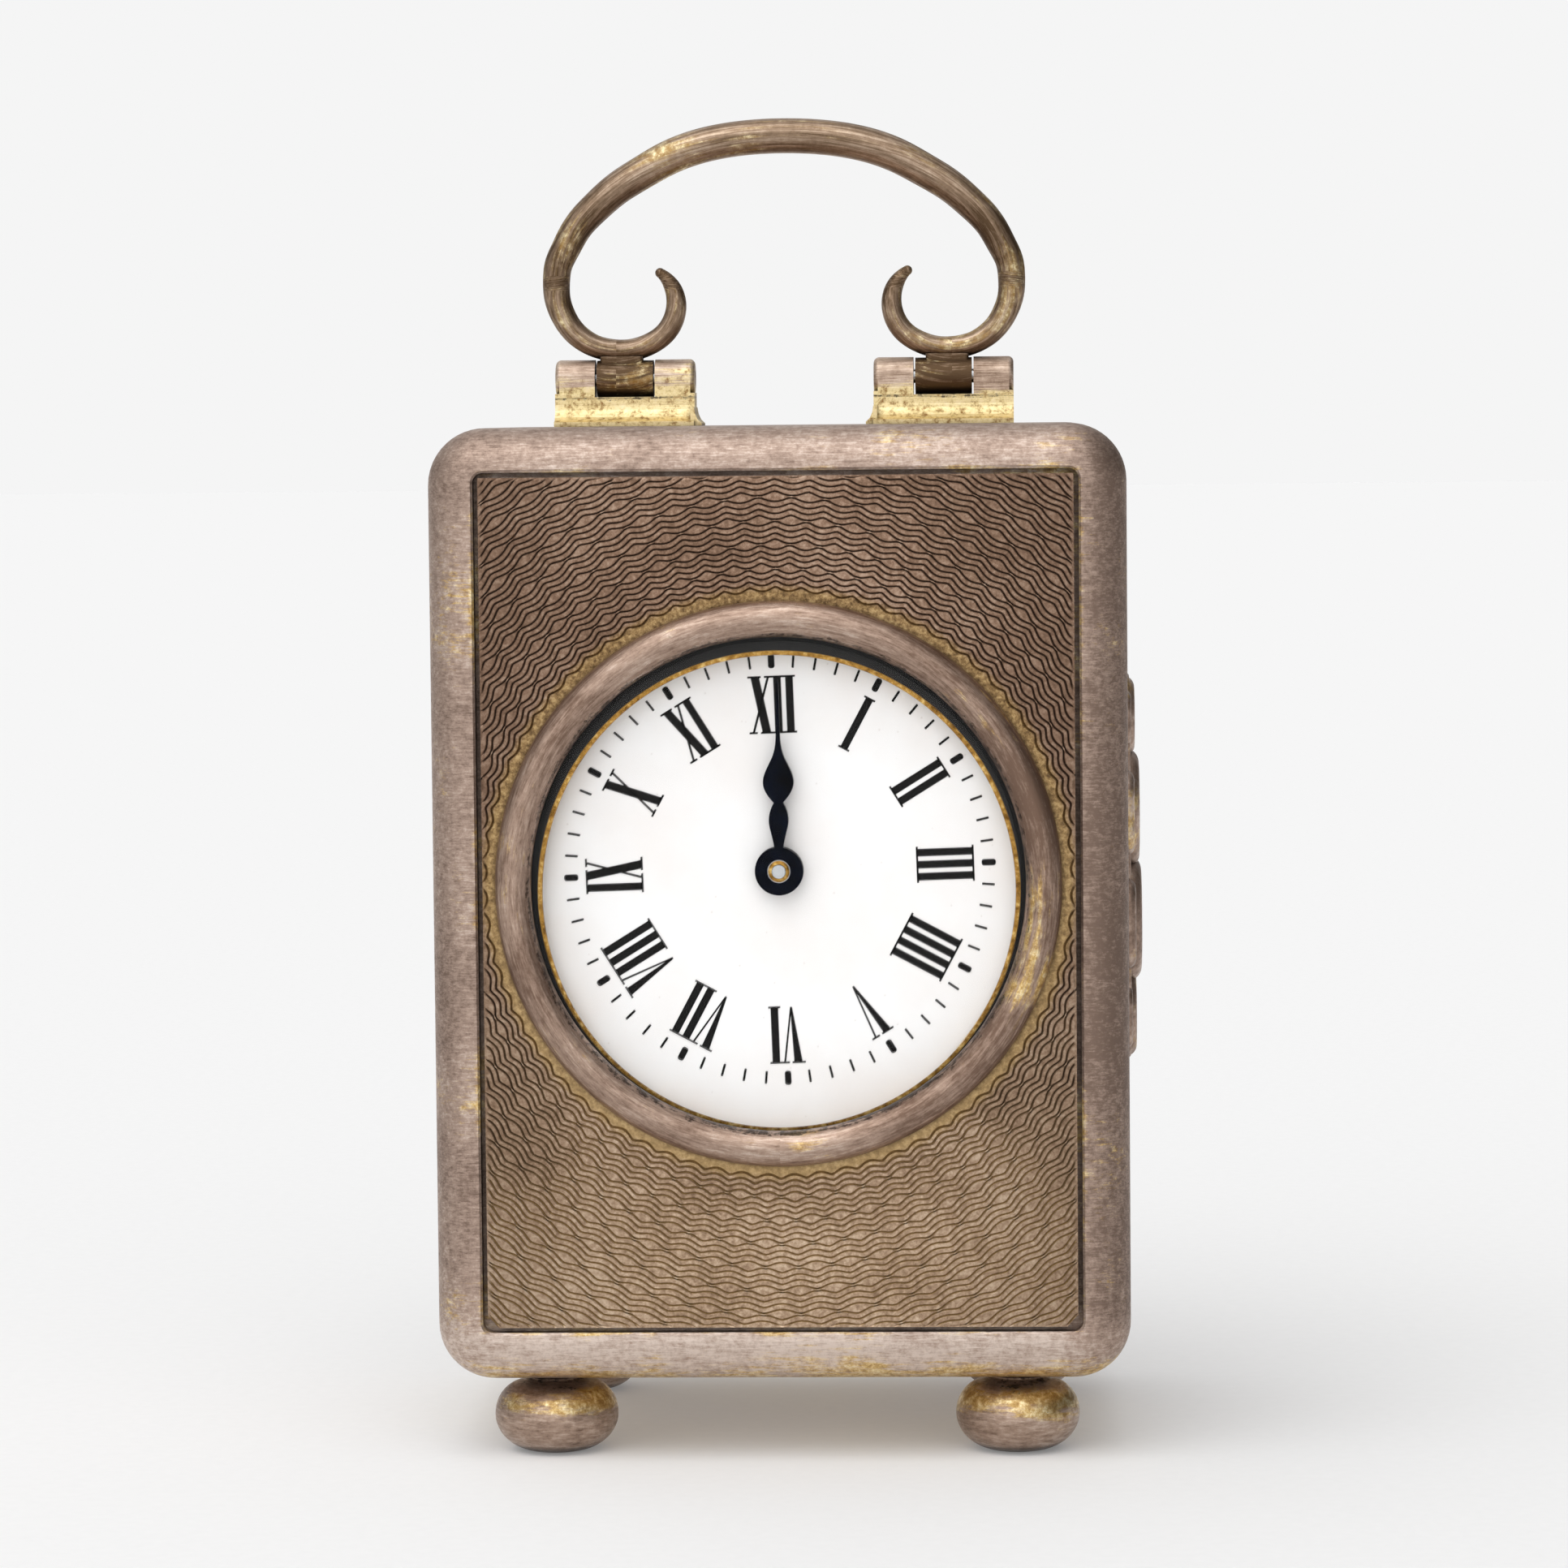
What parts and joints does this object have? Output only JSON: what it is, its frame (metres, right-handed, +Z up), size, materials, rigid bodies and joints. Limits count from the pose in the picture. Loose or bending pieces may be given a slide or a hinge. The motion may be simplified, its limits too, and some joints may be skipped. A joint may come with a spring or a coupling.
{
  "type": "travelling mantel clock",
  "caption": "Small travelling clock: rounded silver case with engine-turned front, round enamel dial, bun feet and hinged scroll handle.",
  "frame": {"origin": "centre of the bounding box at the plane of the feet", "axes": "+Z up, -Y out of the dial towards the viewer, +X to the viewer's right when facing the dial"},
  "size_m": [0.0578, 0.0456, 0.1069],
  "materials": {
    "silver_case": "tarnished silver, hand polished long ago, fine scratches and warm grey-pink tarnish",
    "engine_turned_silver": "tarnished silver with rose-engine turned wavy grooves",
    "silver_bezel": "tarnished silver ring, worn brighter on the crest, gilt outer band",
    "silver_feet": "turned silver, tarnish and gilding left in patches",
    "silver_bracket": "cast silver hinge block, front face still gilt",
    "silver_handle": "drawn and bent silver rod, brushed along its length, gilding left in the scratches",
    "gilt_brass": "mercury gilt brass, bright",
    "crystal_glass": "flat clear glass with a ground bevel",
    "enamel": "white vitreous enamel, fired and glossy, numerals fired in black",
    "dial_copper": "plain copper with a counter-enamelled back",
    "blued_steel": "polished steel heat-blued to a dark blue",
    "bright_steel": "hardened steel, polished",
    "spring_steel": "tempered spring steel",
    "plate_brass": "rolled brass plate, straight grained and lacquered",
    "train_brass": "hard rolled brass, cut and polished",
    "platform_gilt": "frosted mercury gilding on brass"
  },
  "bodies": {
    "case": {"front_frame": "silver_case", "case_wrap": "silver_case", "back_frame": "silver_case", "front_panel": "engine_turned_silver", "bezel": "silver_bezel", "crystal": "crystal_glass", "sight_ring": "gilt_brass", "side_cartouche_left": "silver_case", "side_cartouche_right": "silver_case", "foot_front_left": "silver_feet", "foot_front_right": "silver_feet", "foot_back_left": "silver_feet", "foot_back_right": "silver_feet", "foot_nuts": "train_brass", "door_hinge_pin": "blued_steel", "bracket_left": "silver_bracket", "bracket_right": "silver_bracket", "handle_pins": "bright_steel", "bracket_screws": "bright_steel", "dial": "enamel", "dial_back": "dial_copper", "front_plate": "plate_brass", "back_plate": "plate_brass", "pillars": "plate_brass", "mounting_posts": "plate_brass", "plate_screws": "blued_steel", "click_spring": "spring_steel", "click_screws": "blued_steel", "platform": "platform_gilt", "hairspring": "blued_steel", "train_cock": "platform_gilt", "balance_cock": "platform_gilt", "platform_screws": "blued_steel"},
    "handle": {"handle": "silver_handle"},
    "door": {"back_door": "silver_case", "door_pull": "silver_case"},
    "centre": {"centre_arbor": "bright_steel", "centre_wheel": "train_brass", "cannon_pinion": "bright_steel", "minute_hand": "blued_steel", "hand_collet": "gilt_brass"},
    "hour": {"hour_wheel": "train_brass", "hour_hand": "blued_steel"},
    "minute_wheel": {"minute_wheel": "train_brass"},
    "barrel": {"barrel": "train_brass", "barrel_cover": "train_brass", "mainspring": "spring_steel"},
    "winding_arbor": {"barrel_arbor": "bright_steel", "ratchet_wheel": "bright_steel"},
    "click": {"click": "bright_steel"},
    "intermediate": {"intermediate_arbor": "bright_steel", "intermediate_wheel": "train_brass"},
    "third": {"third_arbor": "bright_steel", "third_wheel": "train_brass"},
    "contrate": {"contrate_arbor": "bright_steel", "contrate_wheel": "train_brass"},
    "escape": {"escape_wheel": "train_brass"},
    "lever": {"lever": "bright_steel"},
    "balance": {"balance_wheel": "platform_gilt"},
    "regulator": {"regulator_index": "bright_steel"}
  },
  "joints": [
    {"name": "handle_swing", "type": "hinge", "parent": "case", "child": "handle", "pos_m": [0, 0, 0.0858], "axis": [1, 0, 0], "range_deg": [-92, 92]},
    {"name": "door_swing", "type": "hinge", "parent": "case", "child": "door", "pos_m": [-0.0219, 0.02175, 0.0442], "axis": [0, 0, 1], "range_deg": [0, 110]},
    {"name": "centre_arbor_turn", "type": "hinge", "parent": "case", "child": "centre", "pos_m": [0, 0, 0.0469], "axis": [0, 1, 0], "continuous": true},
    {"name": "hour_wheel_turn", "type": "hinge", "parent": "case", "child": "hour", "pos_m": [0, 0, 0.0469], "axis": [0, 1, 0], "continuous": true},
    {"name": "minute_wheel_turn", "type": "hinge", "parent": "case", "child": "minute_wheel", "pos_m": [0.006, 0, 0.0469], "axis": [0, 1, 0], "continuous": true},
    {"name": "intermediate_turn", "type": "hinge", "parent": "case", "child": "intermediate", "pos_m": [0.00577, 0, 0.04], "axis": [0, 1, 0], "continuous": true},
    {"name": "barrel_turn", "type": "hinge", "parent": "case", "child": "barrel", "pos_m": [0, 0, 0.0272], "axis": [0, 1, 0], "continuous": true},
    {"name": "third_turn", "type": "hinge", "parent": "case", "child": "third", "pos_m": [-0.00555, 0, 0.05352], "axis": [0, 1, 0], "continuous": true},
    {"name": "contrate_turn", "type": "hinge", "parent": "case", "child": "contrate", "pos_m": [0, 0, 0.0595], "axis": [0, 1, 0], "continuous": true},
    {"name": "escape_turn", "type": "hinge", "parent": "case", "child": "escape", "pos_m": [0, 0.0017, 0.07], "axis": [0, 0, 1], "continuous": true},
    {"name": "winding_arbor_turn", "type": "hinge", "parent": "case", "child": "winding_arbor", "pos_m": [0, 0, 0.0272], "axis": [0, 1, 0], "continuous": true},
    {"name": "click_lift", "type": "hinge", "parent": "case", "child": "click", "pos_m": [0.0064, 0, 0.0326], "axis": [0, 1, 0], "range_deg": [0, 12]},
    {"name": "balance_swing", "type": "hinge", "parent": "case", "child": "balance", "pos_m": [0, -0.0066, 0.073], "axis": [0, 0, 1], "range_deg": [-15, 15]},
    {"name": "lever_swing", "type": "hinge", "parent": "case", "child": "lever", "pos_m": [0, -0.0022, 0.0705], "axis": [0, 0, 1], "range_deg": [-5, 5]},
    {"name": "regulator_swing", "type": "hinge", "parent": "case", "child": "regulator", "pos_m": [0, -0.0066, 0.076], "axis": [0, 0, 1], "range_deg": [-20, 20]}
  ],
  "couplings": [
    {"joint": "hour_wheel_turn", "follows": "centre_arbor_turn", "ratio": 0.083333},
    {"joint": "minute_wheel_turn", "follows": "centre_arbor_turn", "ratio": -0.33333},
    {"joint": "intermediate_turn", "follows": "centre_arbor_turn", "ratio": -0.25},
    {"joint": "barrel_turn", "follows": "centre_arbor_turn", "ratio": 0.03125},
    {"joint": "third_turn", "follows": "centre_arbor_turn", "ratio": -8},
    {"joint": "contrate_turn", "follows": "centre_arbor_turn", "ratio": 60},
    {"joint": "escape_turn", "follows": "centre_arbor_turn", "ratio": 600},
    {"joint": "lever_swing", "follows": "balance_swing", "ratio": -0.33333}
  ]
}
